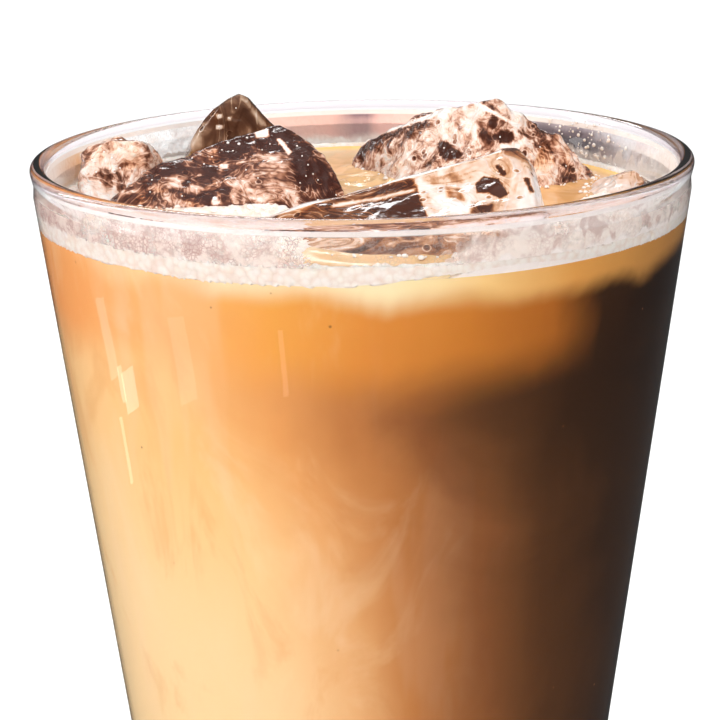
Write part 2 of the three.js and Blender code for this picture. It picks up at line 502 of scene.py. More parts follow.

# Patches of veil: the amount, the softness in pixels and the outline in pixels of the photograph; thin bright
# lines along ridges are painted highlights
wedge_patches = (
    (-1.0, 10, (
        (205, 145), (245, 128), (285, 126), (306, 145), (330, 185), (300, 190), (292, 158), (250, 150),
        (222, 166),
    )),
    (-0.2, 8, ((120, 200), (160, 172), (205, 148), (215, 150), (180, 172), (140, 205))),
    (0.42, 10, ((236, 172), (252, 155), (280, 152), (293, 170), (290, 192), (262, 204), (236, 203))),
    (0.4, 8, ((162, 186), (176, 174), (200, 176), (204, 188), (190, 196), (166, 198))),
    (-0.9, 3, ((180, 184), (188, 180), (192, 184), (186, 188))),
    (0.3, 8, ((172, 162), (196, 150), (216, 148), (212, 160), (190, 168))),
    (-0.15, 6, ((202, 172), (226, 162), (234, 176), (232, 200), (212, 204), (200, 190))),
    (0.8, 4, ((232, 184), (238, 176), (242, 186), (234, 202), (230, 200))),
    # Painted highlights: the wet shine along the top ridge
    (1.7, 3, ((254, 130), (268, 129), (270, 137), (256, 138))),
    (1.3, 2, ((275, 138), (281, 138), (292, 152), (288, 155))),
    (1.2, 2, ((220, 164), (229, 164), (228, 169), (219, 168))),
    (1.2, 2, ((211, 200), (217, 196), (220, 203), (213, 206))),
)
peak_patches = (
    (-0.7, 8, ((345, 158), (374, 134), (430, 116), (434, 124), (398, 140), (366, 165))),
    (0.55, 8, ((432, 122), (455, 106), (484, 103), (490, 122), (466, 148), (440, 138))),
    (0.35, 10, ((350, 170), (384, 142), (432, 142), (456, 160), (420, 178), (366, 176))),
    (0.05, 8, ((495, 118), (530, 132), (606, 192), (575, 200), (520, 160), (496, 148))),
    (0.1, 8, ((516, 150), (560, 168), (590, 200), (550, 200))),
    (-1.2, 3, ((437, 143), (446, 140), (452, 148), (462, 154), (456, 160), (442, 158))),
    (-0.9, 3, ((486, 104), (493, 106), (498, 118), (494, 130), (488, 126), (492, 116))),
    (-1.2, 3, ((494, 136), (502, 130), (512, 132), (515, 140), (504, 144), (497, 142))),
    (0.8, 3, ((490, 148), (500, 144), (516, 144), (524, 136), (528, 140), (518, 150), (498, 152))),
    # Painted highlights: wet shine along the upper ridges
    (1.8, 2, (
        (351, 151), (372, 133), (430, 115), (452, 104), (453, 106), (431, 118), (374, 136), (353, 153),
    )),
    (1.5, 2, ((470, 101), (478, 102), (520, 126), (519, 128), (476, 105))),
)
front_patches = (
    (-0.5, 8, ((250, 235), (335, 196), (412, 176), (424, 196), (432, 222), (400, 232), (290, 232))),
    (-0.1, 10, ((270, 230), (440, 224), (440, 290), (280, 290))),
    (0.85, 8, (
        (412, 178), (452, 166), (500, 150), (528, 162), (548, 196), (556, 230), (440, 230), (426, 196),
    )),
    (0.3, 10, ((425, 178), (452, 170), (460, 182), (448, 192), (430, 186))),
    (-0.45, 5, ((446, 186), (458, 187), (466, 201), (447, 200))),
    (-1.5, 3, ((476, 184), (484, 177), (498, 180), (507, 194), (500, 197), (488, 192), (478, 192))),
    (-0.25, 6, ((472, 203), (492, 205), (490, 218), (470, 216))),
    # Painted highlight: wet shine along the front ridge
    (2.2, 2, (
        (262, 215), (330, 194), (420, 171), (500, 147), (501, 151), (420, 175), (331, 198), (263, 219),
    )),
    (0.9, 3, ((331, 204), (380, 196), (414, 188), (415, 191), (380, 200), (332, 208))),
    (0.9, 3, ((416, 178), (421, 177), (424, 192), (438, 222), (430, 224), (420, 200))),
    (-1.0, 2, ((496, 166), (499, 165), (506, 174), (503, 176))),
    (-1.0, 2, ((524, 178), (528, 178), (534, 192), (531, 194))),
)
plate_patches = (
    (-0.6, 8, ((205, 118), (220, 106), (248, 106), (258, 126), (215, 136))),
    (0.7, 4, ((240, 95), (247, 97), (268, 126), (260, 126))),
    (0.6, 8, ((186, 150), (190, 134), (200, 130), (202, 146))),
    (1.6, 2, ((217, 114), (222, 114), (222, 118), (217, 118))),
    (1.4, 2, ((227, 117), (231, 117), (231, 120), (227, 120))),
    (1.5, 2, ((216, 125), (223, 125), (223, 129), (216, 129))),
)
left_patches = (
    (0.9, 8, ((80, 205), (86, 180), (108, 178), (120, 200))),
    (0.5, 8, ((88, 172), (92, 150), (112, 140), (132, 146), (118, 170))),
    (-0.2, 5, ((90, 178), (108, 168), (128, 178), (124, 192), (104, 184))),
    (0.3, 5, ((118, 165), (146, 150), (162, 162), (140, 176))),
)
right_patches = (
    (0.6, 8, ((628, 190), (634, 176), (664, 168), (680, 176), (676, 190))),
    (-0.5, 3, ((640, 184), (662, 176), (664, 180), (642, 188))),
)

# Each block: its node, its ice, the depth of its broad, crystal and fine melting, its veil and painted
# highlights
ice_blocks = (
    ("ice_wedge", stained_ice, 0.0011, 0.0003, 0.0005, 0.1, wedge_patches),
    ("ice_plate", smoky_ice, 0.0008, 0.0, 0.00015, -0.2, plate_patches),
    ("ice_front", amber_ice, 0.0009, 0.0001, 0.00015, 0.1, front_patches),
    ("ice_peak", frosted_ice, 0.0011, 0.0006, 0.0007, 0.25, peak_patches),
    ("ice_left", frosted_ice, 0.0010, 0.0008, 0.0009, 0.35, left_patches),
    ("ice_right", amber_ice, 0.0008, 0.0004, 0.0005, 0.8, right_patches),
)
blocks = {}
for node_name, ice, broad, crystal, fine, base, patches in ice_blocks:
    block = copy_of_node(node_name.replace("ice", "block"), node_name)
    use_modifier(block, "REMESH", mode="VOXEL", voxel_size=ice_grain)
    use_modifier(block, "SMOOTH", factor=0.5, iterations=2)
    displace(block, broad_melt, broad, mid_level=0.3)
    if crystal:
        displace(block, crystals, crystal)
    displace(block, fine_melt, fine)
    paint_veil_and_highlights(block, base, patches)
    end_piece(block, ice, "ice", node_name, smooth=70)
    blocks[node_name] = block


# Latte: opaque milky coffee, poured over the ice. It runs from cream at the left to nearly black
# coffee at the right, partly as milk that has not mixed in evenly and partly as painted light and
# shade, lit at the left and shaded at the right, with a golden layer at the top.
wall_bite = 0.00015
side_skin = 0.0004
surface_rings = 60
surface_middle = 0.001
side_heights = (0.03, 0.08, 0.12, drink_level - 0.001)
ice_bite = 0.0009
bed_grain = 0.0008
wall_climb, wall_climb_reach = 0.0007, 0.0012
ice_climb, ice_climb_reach = 0.0006, 0.0008
ring_wave = (-0.0003, 0.0139)
ring_wave_height, ring_wave_reach, ring_wave_turns = 0.00035, 0.0042, 2600
widening_heights = (0.104, 0.13)
golden_heights = (0.1255, 0.1335)
pale_heights = (0.1378, 0.1416)
pale_drop_at_right = 0.0026
edge_glow_width = (0.0035, 0.0008)

# The drink's colour runs across the glass, partly as painted light and shade, with layers near its top,
# drifts, streaks and specks
blend, given, result = start_group("coffee_milk_and_shade", ("Swirl",), ("Colour",), "Color")
axes = axes_of(blend)
swirl = noise(blend, place(blend), 34, 4, Distortion=0.8)
tall = node(blend, "Mapping", {"Vector": place(blend), "Scale": (1, 1, 0.12)}).outputs[0]
streaks = noise(blend, tall, 150, 3)
# Painted light and shade: the colour follows X, lit cream at the left and shaded nearly black at the right
across = math_node(blend, "MULTIPLY", axes["X"], 1 / inner_radius(drink_level))
swirl_shift = math_node(blend, "SUBTRACT", swirl, 0.5)
across = math_node(blend, "MULTIPLY_ADD", swirl_shift, given["Swirl"], across)
streak_shift = math_node(blend, "MULTIPLY_ADD", streaks, 0.1, -0.05)
across = math_node(blend, "ADD", across, streak_shift)
widening = between(blend, axes["Z"], *widening_heights, -0.15, 0.07)
across = math_node(blend, "ADD", across, widening)
coffee_and_shade = math_node(blend, "MULTIPLY_ADD", across, 0.5, 0.5)
body = ramp(
    blend, coffee_and_shade,
    (0.05, (0.98, 0.69, 0.35)), (0.25, (0.98, 0.61, 0.26)), (0.38, (0.82, 0.4, 0.14)),
    (0.5, (0.55, 0.225, 0.072)), (0.6, (0.29, 0.108, 0.038)), (0.7, (0.12, 0.05, 0.02)),
    (0.8, (0.055, 0.025, 0.012)), (1.0, (0.026, 0.012, 0.007)),
)
golden = ramp(
    blend, coffee_and_shade,
    (0.05, (0.9, 0.39, 0.12)), (0.24, (0.95, 0.5, 0.2)), (0.4, (0.88, 0.41, 0.09)),
    (0.55, (0.76, 0.3, 0.06)), (0.68, (0.64, 0.23, 0.038)), (0.78, (0.48, 0.155, 0.025)),
    (0.85, (0.05, 0.022, 0.01)), (0.96, (0.022, 0.01, 0.006)),
)
layer = math_node(blend, "MULTIPLY_ADD", swirl_shift, 0.012, axes["Z"])
lower_left = math_node(
    blend, "MULTIPLY", between(blend, axes["Z"], 0.125, 0.085), between(blend, across, 0.0, -0.5, 0.0, 0.6)
)
body = mix(blend, lower_left, body, (1.0, 0.8, 0.5))
colour = mix(blend, between(blend, layer, *golden_heights), body, golden)
pale = ramp(
    blend, coffee_and_shade,
    (0.1, (0.93, 0.45, 0.17)), (0.24, (1.0, 0.68, 0.34)), (0.34, (1.0, 0.86, 0.56)),
    (0.58, (1.0, 0.88, 0.54)), (0.7, (1.0, 0.68, 0.28)), (0.82, (0.84, 0.4, 0.1)), (0.96, (0.56, 0.26, 0.07)),
)
right_layer = math_node(blend, "ADD", layer, between(blend, across, 0.3, 0.85, 0.0, pale_drop_at_right))
colour = mix(blend, between(blend, right_layer, *pale_heights), colour, pale)
drawn_out = node(blend, "Mapping", {"Vector": place(blend), "Scale": (1, 1, 0.5)}).outputs[0]
drifts = noise(blend, drawn_out, 75, 5, Roughness=0.6, Distortion=1.2)
milky_lit_side = between(blend, coffee_and_shade, 0.68, 0.3)
creamier = math_node(blend, "MULTIPLY", between(blend, drifts, 0.5, 0.72, 0.0, 0.32), milky_lit_side)
colour = mix(blend, creamier, colour, (1.0, 0.8, 0.52))
browner = math_node(blend, "MULTIPLY", between(blend, drifts, 0.47, 0.3, 0.0, 0.32), milky_lit_side)
colour = mix(blend, browner, colour, (0.8, 0.36, 0.12))
brushed = math_node(blend, "MULTIPLY", between(blend, streaks, 0.54, 0.68, 0.0, 0.2), milky_lit_side)
colour = mix(blend, brushed, colour, (1.0, 0.74, 0.5))
dust = node(blend, "TexVoronoi", {"Vector": place(blend), "Scale": 300})
few = between(blend, node(blend, "SeparateXYZ", {0: dust.outputs["Color"]}).outputs[0], 0.84, 0.86)
speck = math_node(blend, "MULTIPLY", between(blend, dust.outputs["Distance"], 0.03, 0.07, 0.7, 0.0), few)
colour = mix(blend, speck, colour, (0.3, 0.11, 0.04))
blend.links.new(colour, result["Colour"])


def from_axis(tree):
    """Distance from the axis of the glass."""
    flat = node(tree, "VectorMath", {0: place(tree), 1: (1, 1, 0)}, operation="MULTIPLY").outputs[0]
    return node(tree, "VectorMath", {0: flat}, operation="LENGTH").outputs["Value"]


coffee_side, tree, shader = new_material(
    "coffee_behind_glass", {"IOR": 1.34, "Specular IOR Level": 0, "Roughness": 0.6}
)
colour = place_group(tree, blend, {"Swirl": 0.3}).outputs["Colour"]
tree.links.new(colour, shader.inputs["Base Color"])

coffee_top, tree, shader = new_material("coffee_surface", {"IOR": 1.34})
colour = place_group(tree, blend, {"Swirl": 0.9}).outputs["Colour"]
creamy = ramp(tree, noise(tree, place(tree), 120, 5, Distortion=2.2), (0.45, 0.0), (0.62, 0.75))
surface_colour = mix(tree, 0.7, colour, (0.68, 0.38, 0.17))
marbled_colour = mix(tree, creamy, surface_colour, (0.78, 0.46, 0.24))
# Painted highlight: a narrow orange ring glows on the surface where it meets the glass
glow_at_glass = between(tree, from_axis(tree), *(inner_radius(drink_level) - width for width in edge_glow_width))
tree.links.new(mix(tree, glow_at_glass, marbled_colour, (1.0, 0.62, 0.2)), shader.inputs["Base Color"])
tree.links.new(ramp(tree, creamy, (0.0, 0.06), (1.0, 0.3)), shader.inputs["Roughness"])

bpy.ops.mesh.primitive_cylinder_add(
    vertices=sides_round, radius=1, depth=drink_level - base_thickness + wall_bite,
    location=(0, 0, (drink_level + base_thickness - wall_bite) / 2),
)
drink = start_piece("drink")
drink_bottom = base_thickness - wall_bite
select(drink, "faces", level_face(drink_bottom))
widen(inner_radius(drink_bottom) + wall_bite, drink_bottom)
select(drink, "faces", level_face(drink_level))
widen(inner_radius(drink_level) + wall_bite, drink_level)
for _ in range(surface_rings):
    bpy.ops.mesh.inset(thickness=(inner_radius(drink_level) - surface_middle) / surface_rings)
for height in side_heights:
    select(drink, "faces", lambda face: abs(face.normal.z) < 0.5)
    bpy.ops.mesh.bisect(plane_co=(0, 0, height), plane_no=(0, 0, 1))
select(drink, "edges", ring_at(inner_radius(drink_bottom) + wall_bite, drink_bottom))
bpy.ops.mesh.bevel(offset=floor_corner - wall_bite, segments=10, affect="EDGES")
bpy.ops.object.mode_set(mode="OBJECT")

# The surface climbs the wall and the ice a little, and has one ring wave between the blocks
ice_trees = [
    BVHTree.FromObject(block, bpy.context.evaluated_depsgraph_get()) for block in blocks.values()
]
for corner in drink.data.vertices:
    if corner.co.z > drink_level - 1e-6:
        to_wall = inner_radius(drink_level) - corner.co.xy.length
        to_ice = min(tree.find_nearest(corner.co)[3] for tree in ice_trees)
        from_ring = (corner.co.xy - Vector(ring_wave)).length
        fade = math.exp(-((from_ring / ring_wave_reach) ** 2))
        wave = ring_wave_height * math.cos(from_ring * ring_wave_turns) * fade
        up_wall = wall_climb * math.exp(-to_wall / wall_climb_reach)
        up_ice = ice_climb * math.exp(-to_ice / ice_climb_reach)
        corner.co.z += wave + up_wall + up_ice

# Each block lies in a bed a little smaller than itself, so that the drink goes just into the ice
for node_name in blocks:
    bed = copy_of_node("bed", node_name)
    bpy.ops.object.mode_set(mode="EDIT")
    bpy.ops.mesh.select_all(action="SELECT")
    bpy.ops.transform.shrink_fatten(value=-ice_bite)
    bpy.ops.object.mode_set(mode="OBJECT")
    use_modifier(bed, "REMESH", mode="VOXEL", voxel_size=bed_grain)
    use_modifier(drink, "BOOLEAN", object=bed, operation="DIFFERENCE", solver="EXACT")
    bpy.data.objects.remove(bed)
end_piece(drink, coffee_side, "latte", "latte")
drink.data.materials.append(coffee_top)
for face in drink.data.polygons:
    face.material_index = int(face.center.xy.length < inner_radius(face.center.z) - side_skin)


# Milk foam: fine white bubbles that gather along the glass, widest at the front left.
# It floats on the drink and clings to the wall, with a ragged inner edge.
foam_grain = 0.00035
foam_bite = 0.0002
foam_cell = 0.0008
foam_relief = 0.0007
foam_least = 0.0003
foam_thickness = 0.0017
thicker_share, thickest_turn = 0.35, -0.5
foam_sunk = 0.0005
bottom_waves = ((0.00007, 7, 1), (0.00005, 17, 0))
wall_side = 0.0007
bank_width, bank_slope = 0.0009, 0.0006
window_turn, window_width, window_depth = 0.03, 0.28, 0.0026
lifted_turn, lifted_width, lift_height = 0.42, 0.26, 0.0011
rise_at_right, rise_width = 0.0004, 0.2
low_back_turn, low_back_slope = 1.7, 0.3

bubbly = melt_texture("bubbly", "VORONOI", 0.0011, distance_metric="DISTANCE", weight_1=1)

milk_foam, tree, shader = new_material("milk_foam", {
    "Roughness": 0.42, "Subsurface Weight": 0.3, "Subsurface Radius": (1.0, 0.8, 0.6),
    "Subsurface Scale": foam_cell,
})
spot = place(tree)
small = node(tree, "TexVoronoi", {"Vector": spot, "Scale": 1 / foam_cell}).outputs["Distance"]
patch = noise(tree, spot, 160, 4)
wall_radius = inner_radius(drink_level)
at_wall = between(tree, from_axis(tree), wall_radius - 0.0016, wall_radius - 0.0004)
# Painted light and shade: the foam is painted lighter against the wall and darker in the hollows between its
# bubbles
wall_lit_foam = mix(tree, at_wall, (0.9, 0.8, 0.72), (0.98, 0.92, 0.86))
shade = mix(tree, ramp(tree, small, (0.35, 0.0), (1.0, 1.0)), wall_lit_foam, (0.88, 0.74, 0.65))
stain = ramp(tree, patch, (0.46, 0.0), (0.66, 0.8))
stain = math_node(tree, "MULTIPLY", stain, math_node(tree, "SUBTRACT", 1.0, at_wall))
tree.links.new(mix(tree, stain, shade, (0.74, 0.5, 0.38)), shader.inputs["Base Color"])
froth = node(tree, "Bump", {"Strength": 0.3, "Distance": 0.0004, "Height": small}, invert=True)
tree.links.new(froth.outputs[0], shader.inputs["Normal"])


def share_past(value, start, width):
    """How far a value has gone past the start, from 0 to 1 over this width."""
    return min(1.0, max(0.0, (value - start) / width))


# Foam lies against the wall. It is sunk behind a narrow bank at the front, where the ice shows
# through the wall, and at the back.
foam = copy_of_node("foam_collar", "foam")
use_modifier(foam, "REMESH", mode="VOXEL", voxel_size=foam_grain)
smooth_places = corners_of(foam)
displace(foam, bubbly, -foam_relief, mid_level=0.4)
foam_low, foam_high = (corner.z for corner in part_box("foam"))
for corner, smooth_place in zip(foam.data.vertices, smooth_places):
    wall = inner_radius(smooth_place[2])
    to_wall = wall - math.hypot(smooth_place[0], smooth_place[1])
    if to_wall < wall_side:
        corner.co = smooth_place
        corner.co.xy *= (wall + foam_bite) / corner.co.xy.length
    around = math.atan2(corner.co.x, -corner.co.y)
    how_thick = 1 - thicker_share + thicker_share * math.cos(around - thickest_turn)
    top = drink_level + foam_least + foam_thickness * how_thick
    lift = lift_height * math.exp(-(((around - lifted_turn) / lifted_width) ** 2))
    right_rise = rise_at_right * share_past(around, 0, rise_width)
    uneven = sum(wave * math.sin(times * around + start) for wave, times, start in bottom_waves)
    bottom = drink_level - foam_sunk + lift + right_rise + uneven
    corner.co.z = bottom + (corner.co.z - foam_low) / (foam_high - foam_low) * (top - bottom)
    front_gap = math.exp(-(((around - window_turn) / window_width) ** 4))
    back_gap = share_past(abs(around), low_back_turn, low_back_slope)
    sunk = max(front_gap, back_gap) * share_past(to_wall, bank_width, bank_slope)
    corner.co.z -= window_depth * sunk
end_piece(foam, milk_foam, "milk_foam", "foam", smooth=70)


# Milk film: a thin skin of milk that swirling left on the glass above the drink, drying in lace.
# It is thick along the foam and thins towards the rim. It goes just into the wall it clings to.
film_low = drink_level + 0.0002
film_high = glass_height - 0.0014
film_bite = 0.0001
tone_heights = (0.1469, 0.1484)
foot_heights = (0.1452, 0.144)
rim_highlight_band = (0.1468, 0.147)

# The film's thickness, lace and tones run round the glass: back, left, front, right and back
film, tree, shader = new_material("milk_film", {"Roughness": 0.3})
axes = axes_of(tree)
turn = math_node(tree, "ARCTAN2", axes["X"], math_node(tree, "MULTIPLY", axes["Y"], -1.0))
turn = math_node(tree, "MULTIPLY_ADD", turn, 1 / (2 * math.pi), 0.5)
spot = place(tree)
warp = node(tree, "TexNoise", {"Vector": spot, "Scale": 260, "Detail": 3}).outputs[1]
shift = node(tree, "VectorMath", {0: warp, "Scale": 0.0016}, operation="SCALE").outputs[0]
bent = node(tree, "VectorMath", {0: spot, 1: shift}, operation="ADD").outputs[0]
coarse_cells = node(tree, "TexVoronoi", {"Vector": bent, "Scale": 850}, feature="DISTANCE_TO_EDGE").outputs[0]
fine_cells = node(tree, "TexVoronoi", {"Vector": bent, "Scale": 2000}, feature="DISTANCE_TO_EDGE").outputs[0]
patch = noise(tree, spot, 210, 5, Roughness=0.65)
thickness = ramp(
    tree, turn,
    (0.0, 0.95), (0.08, 0.85), (0.1, 0.48), (0.18, 0.5), (0.22, 0.95), (0.3, 0.8), (0.4, 0.66),
    (0.46, 0.6), (0.475, 0.12), (0.53, 0.1), (0.545, 0.7), (0.62, 0.8), (0.68, 0.66), (0.74, 0.95),
    (0.79, 0.6), (0.82, 0.6), (0.85, 0.9), (0.9, 0.9), (0.93, 0.8), (0.95, 0.95),
)
lace = ramp(
    tree, turn,
    (0.08, 0.0), (0.11, 0.6), (0.18, 0.6), (0.2, 0.0), (0.24, 0.0), (0.3, 0.9), (0.465, 1.0), (0.48, 0.35),
    (0.53, 0.35), (0.55, 0.9), (0.7, 1.0), (0.76, 0.2), (0.79, 0.4), (0.83, 0.4), (0.85, 0.0),
)
line_share = ramp(
    tree, turn,
    (0.27, 0.0), (0.31, 1.0), (0.47, 1.0), (0.49, 0.15), (0.56, 0.4), (0.7, 0.2), (0.75, 0.0),
)
high_tone = ramp(
    tree, turn,
    (0.004, (0.2, 0.1, 0.14)), (0.016, (0.88, 0.52, 0.46)), (0.07, (0.92, 0.58, 0.5)),
    (0.12, (0.9, 0.87, 0.86)), (0.17, (0.94, 0.9, 0.86)), (0.21, (0.9, 0.6, 0.36)),
    (0.25, (0.9, 0.8, 0.74)), (0.4, (0.9, 0.76, 0.71)), (0.5, (1.0, 0.88, 0.81)), (0.76, (1.0, 0.93, 0.87)),
    (0.8, (0.72, 0.68, 0.76)), (0.84, (0.42, 0.38, 0.44)), (0.9, (0.4, 0.34, 0.38)),
    (0.935, (0.8, 0.62, 0.62)), (0.96, (0.98, 0.62, 0.55)), (0.988, (0.96, 0.56, 0.52)),
    (0.996, (0.2, 0.1, 0.14)),
)
low_tone = ramp(
    tree, turn,
    (0.004, (0.55, 0.34, 0.33)), (0.02, (0.9, 0.56, 0.48)), (0.06, (0.92, 0.64, 0.56)),
    (0.12, (0.94, 0.86, 0.82)), (0.17, (0.9, 0.8, 0.72)), (0.21, (0.86, 0.46, 0.2)),
    (0.25, (0.92, 0.8, 0.73)), (0.4, (0.9, 0.76, 0.7)), (0.5, (1.0, 0.88, 0.8)), (0.77, (1.0, 0.93, 0.87)),
    (0.83, (0.4, 0.36, 0.4)), (0.85, (0.12, 0.08, 0.11)), (0.89, (0.1, 0.07, 0.09)),
    (0.915, (0.5, 0.42, 0.42)), (0.95, (1.0, 0.72, 0.64)), (0.99, (0.98, 0.62, 0.56)),
    (0.996, (0.55, 0.34, 0.33)),
)
height_noise = math_node(tree, "MULTIPLY_ADD", patch, 0.0024, axes["Z"])
tone = mix(tree, between(tree, height_noise, *tone_heights), low_tone, high_tone)
mottle = between(tree, noise(tree, bent, 380, 3, Distortion=1.2), 0.48, 0.62, 0.0, 0.75)
mottle = math_node(tree, "MULTIPLY", mottle, lace)
tone = mix(tree, mottle, tone, (0.6, 0.42, 0.38))
foot_white = between(tree, height_noise, *foot_heights, 0.0, 0.8)
tone = mix(tree, foot_white, tone, (0.98, 0.88, 0.82))
low = between(tree, axes["Z"], 0.1428, film_high, 0.15, -0.1)
cover = math_node(tree, "ADD", thickness, low)
cover = math_node(tree, "MULTIPLY_ADD", math_node(tree, "MULTIPLY_ADD", patch, 2.6, -1.3), lace, cover)
cover = between(tree, cover, 0.15, 0.85, 0.0, 0.94)
coarse_lines = between(tree, coarse_cells, 0.0, 0.06, 0.8, 0.0)
fine_lines = between(tree, fine_cells, 0.0, 0.12, 0.9, 0.0)
lines = math_node(tree, "MAXIMUM", coarse_lines, fine_lines)
lace_patch = noise(tree, spot, 330, 2)
lines = math_node(tree, "MULTIPLY", lines, between(tree, lace_patch, 0.4, 0.55))
lines = math_node(tree, "MULTIPLY", lines, line_share)
hanging = node(tree, "Mapping", {"Vector": spot, "Scale": (1, 1, 0.22)}).outputs[0]
icicles = noise(tree, hanging, 520, 2)
tide_step = ramp(
    tree, turn, (0.1, 0.0028), (0.455, 0.0034), (0.47, 0.0), (0.535, 0.0), (0.55, 0.0034), (0.8, 0.0046),
    (0.9, 0.0042), (0.93, 0.0016),
)
tide = math_node(tree, "MULTIPLY_ADD", icicles, tide_step, film_low)
tide_cover = between(tree, math_node(tree, "SUBTRACT", tide, axes["Z"]), -0.0002, 0.0004)
# Painted highlight: a white band just under the rim draws the bright lower line of the rim's bead
rim_highlight = between(tree, axes["Z"], *rim_highlight_band, 0.0, 0.9)
white = math_node(tree, "MAXIMUM", tide_cover, rim_highlight)
shown = math_node(tree, "MAXIMUM", math_node(tree, "MAXIMUM", cover, lines), white)
lined = mix(tree, math_node(tree, "MULTIPLY", lines, 0.95), tone, (0.5, 0.27, 0.24))
tree.links.new(mix(tree, white, lined, (0.98, 0.91, 0.87)), shader.inputs["Base Color"])
tree.links.new(shown, shader.inputs["Alpha"])
beads = node(tree, "Bump", {"Strength": 0.4, "Distance": 0.0003, "Height": coarse_cells})
tree.links.new(beads.outputs[0], shader.inputs["Normal"])

bpy.ops.mesh.primitive_cylinder_add(
    vertices=sides_round, radius=1, depth=film_high - film_low,
    location=(0, 0, (film_high + film_low) / 2), end_fill_type="NOTHING",
)
wall_film = start_piece("wall_film")
for height in (film_low, film_high):
    select(wall_film, "edges", ring_at(1, height))
    widen(inner_radius(height) + film_bite, height)
bpy.ops.mesh.select_all(action="SELECT")
bpy.ops.mesh.subdivide(number_cuts=2)
end_piece(wall_film, film, "milk_foam")


# Bubbles and drops: they rise in the foam and stop along the ice and the wall, singly and in rows.
# Each is a low dome of milk skin, as wide as a grain of sugar; larger ones are rare.
foam_bubble_count = 420
foam_bubble_from_wall = (0.0008, 0.027, 1.6)
foam_bubble_radius = (0.00018, 0.00045, 4)
waterline_bubble_count = 260
waterline_bubble_radius = (0.00014, 0.0003, 3)
waterline_reach = 0.0009
drop_count = 200
drop_above_drink = (0.001, 0.0055, 1.5)
drop_radius = (0.00011, 0.00024, 3)
drop_degrees = (20, 75)
crowded_degrees, crowded_width = 42, 14
pixel_size = 0.00014


def dome(name, height):
    """A bubble of radius 1 that is cut flat below its middle, to be copied."""
    bpy.ops.mesh.primitive_ico_sphere_add(subdivisions=2, radius=1)
    bubble = start_piece(name)
    bpy.ops.mesh.select_all(action="SELECT")
    bpy.ops.mesh.bisect(plane_co=(0, 0, -0.25), plane_no=(0, 0, 1), clear_inner=True, use_fill=True)
    bpy.ops.mesh.select_all(action="SELECT")
    bpy.ops.transform.resize(value=(1, 1, height))
    bpy.ops.object.mode_set(mode="OBJECT")
    return bubble


def set_down(template, name, resting, material):
    """Copies the template to each place, normal and radius, and joins the copies to one piece."""
    bpy.ops.object.select_all(action="DESELECT")
    for at, normal, radius in resting:
        copy = bpy.data.objects.new(name, template.data.copy())
        bpy.context.scene.collection.objects.link(copy)
        turned = normal.to_track_quat("Z", "Y").to_matrix().to_4x4()
        copy.matrix_world = Matrix.Translation(at) @ turned @ Matrix.Scale(radius, 4)
        copy.select_set(True)
    bpy.context.view_layer.objects.active = copy
    bpy.ops.object.join()
    bpy.ops.object.transform_apply(location=True, rotation=True, scale=True)
    piece = bpy.context.object
    piece.name = name
    end_piece(piece, material, "milk_foam", smooth=80)


def seen_at(x, y, trees):
    """Place and normal of the nearest surface that shows at a pixel of the photograph."""
    hits = [tree.ray_cast(camera_place, photo_ray(x, y)) for tree in trees]
    hits = [hit for hit in hits if hit[0] is not None]
    return min(hits, key=lambda hit: hit[3])[:2] if hits else None


bead_skin, tree, shader = new_material("bead_skin", {"Coat Weight": 1})
cloudy = noise(tree, place(tree), 700, 2)
tree.links.new(ramp(tree, cloudy, (0.35, (0.99, 0.95, 0.92)), (0.7, (0.9, 0.78, 0.7))),
               shader.inputs["Base Color"])
tree.links.new(ramp(tree, cloudy, (0.4, 0.08), (0.7, 0.2)), shader.inputs["Roughness"])

bead = dome("bead", 0.8)

# Beads on the ice: where each shows in the photograph and how wide it is, in pixels
ice_beads = (
    (228, 143, 3.2), (239, 144, 3.2), (247, 138, 2.6), (233, 151, 2), (254, 143, 2), (222, 150, 2),
    (212, 157, 2), (204, 164, 2), (222, 166, 4), (215, 199, 5), (270, 144, 1.6), (262, 150, 1.8),
    (297, 146, 2.2), (302, 156, 1.8), (308, 165, 2), (313, 174, 1.8), (306, 176, 1.6), (318, 180, 1.6),
    (300, 183, 1.8), (152, 180, 1.8), (166, 178, 1.6), (182, 196, 1.8), (150, 192, 1.6), (246, 170, 1.8),
    (258, 178, 1.6), (219, 116, 2), (229, 118, 2), (219, 127, 2.4), (236, 108, 1.6),
    (352, 152, 1.8), (361, 144, 1.6), (372, 135, 1.8), (386, 130, 1.5), (398, 126, 1.8), (411, 121, 1.5),
    (424, 117, 1.8), (437, 112, 1.6), (447, 107, 2), (458, 102, 2), (470, 102, 1.8), (484, 107, 1.6),
    (496, 114, 1.6), (506, 121, 1.8), (517, 127, 1.5), (444, 148, 2), (452, 152, 1.8), (500, 137, 1.8),
    (526, 138, 1.6), (540, 147, 1.8), (552, 158, 1.6), (566, 166, 1.8), (580, 178, 1.6), (592, 186, 1.8),
    (268, 214, 2), (284, 210, 1.8), (300, 206, 2.2), (318, 200, 2), (336, 195, 1.8), (352, 192, 2.4),
    (370, 188, 2), (388, 183, 2.2), (404, 178, 2.6), (420, 174, 2), (438, 168, 2.4), (452, 164, 2),
    (470, 158, 2.2), (486, 154, 1.8), (498, 150, 2), (381, 186, 3), (486, 186, 2.2), (492, 184, 1.8),
    (92, 160, 2), (104, 152, 2), (112, 158, 2.4), (96, 172, 2.2), (120, 168, 1.8), (100, 183, 2.4),
    (640, 176, 2.4), (652, 172, 2.2), (664, 176, 2), (646, 182, 1.8), (620, 188, 1.8),
)
resting = []
for x, y, across in ice_beads:
    seen = seen_at(x, y, ice_trees)
    if seen:
        resting.append((seen[0], seen[1], across * pixel_size / 2))
set_down(bead, "ice_beads", resting, bead_skin)

dice = np.random.default_rng(7)


def mostly_small(least, more, rarity):
    """A random measure, the more seldom the larger it is."""
    return least + more * dice.random() ** rarity


